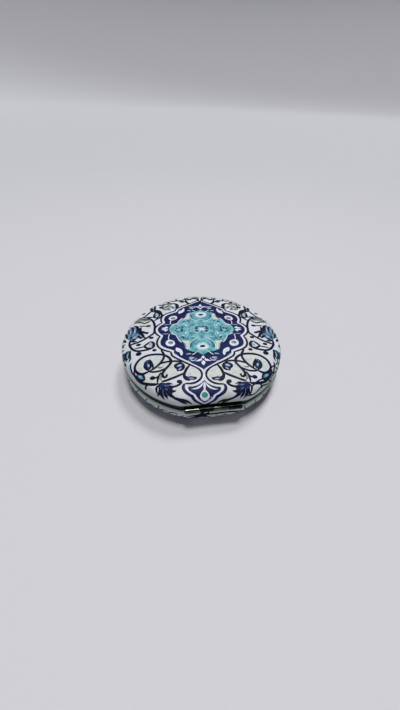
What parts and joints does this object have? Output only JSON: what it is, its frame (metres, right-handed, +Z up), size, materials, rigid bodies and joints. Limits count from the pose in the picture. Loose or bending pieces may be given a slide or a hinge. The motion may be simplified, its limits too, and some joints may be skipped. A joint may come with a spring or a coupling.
{
  "type": "pocket mirror",
  "caption": "Round folding pocket mirror: padded leather covers with painted arabesques on plated rims, knuckle hinge, push-button catch, plain and magnifying glass.",
  "frame": {"origin": "centre of the flat on the base cover that the closed mirror rests on", "axes": "+Z up through both halves, -Y towards the hinge, +Y towards the push button, +X along the hinge pin"},
  "size_m": [0.071, 0.0716, 0.0185],
  "materials": {
    "leather": "fine grain, satin, painted with navy, blue and turquoise ornament",
    "foam": "soft open foam",
    "plated_metal": "bright plating",
    "pressed_steel": "dull pressed sheet",
    "silvered_glass": "silvered, polished",
    "adhesive_pad": "white foam tape"
  },
  "bodies": {
    "base": {"base_cover": "leather", "base_foam_pad": "foam", "base_pan": "pressed_steel", "base_rim": "plated_metal", "base_mirror": "silvered_glass", "base_mirror_adhesive": "adhesive_pad", "base_hinge_leaf": "plated_metal", "base_hinge_rivet_1": "pressed_steel", "base_hinge_rivet_2": "pressed_steel", "hinge_pin": "plated_metal", "spring_bracket": "pressed_steel", "button_spring": "pressed_steel"},
    "lid": {"lid_cover": "leather", "lid_foam_pad": "foam", "lid_pan": "pressed_steel", "lid_rim": "plated_metal", "lid_mirror": "silvered_glass", "lid_mirror_adhesive": "adhesive_pad", "lid_hinge_leaf": "plated_metal", "lid_hinge_rivet_1": "pressed_steel", "lid_hinge_rivet_2": "pressed_steel", "catch_hook": "plated_metal", "hook_rivet_1": "plated_metal", "hook_rivet_2": "plated_metal"},
    "button": {"push_button": "plated_metal"}
  },
  "joints": [
    {"name": "lid_hinge", "type": "hinge", "parent": "base", "child": "lid", "pos_m": [0, -0.0339, 0.00925], "axis": [1, 0, 0], "range_deg": [0, 180]},
    {"name": "button_press", "type": "slide", "parent": "base", "child": "button", "axis": [0, -1, 0], "range_m": [0, 0.0008], "stiffness_N_per_m": 800, "springref_m": -0.0015, "deforming": ["button_spring"]}
  ]
}
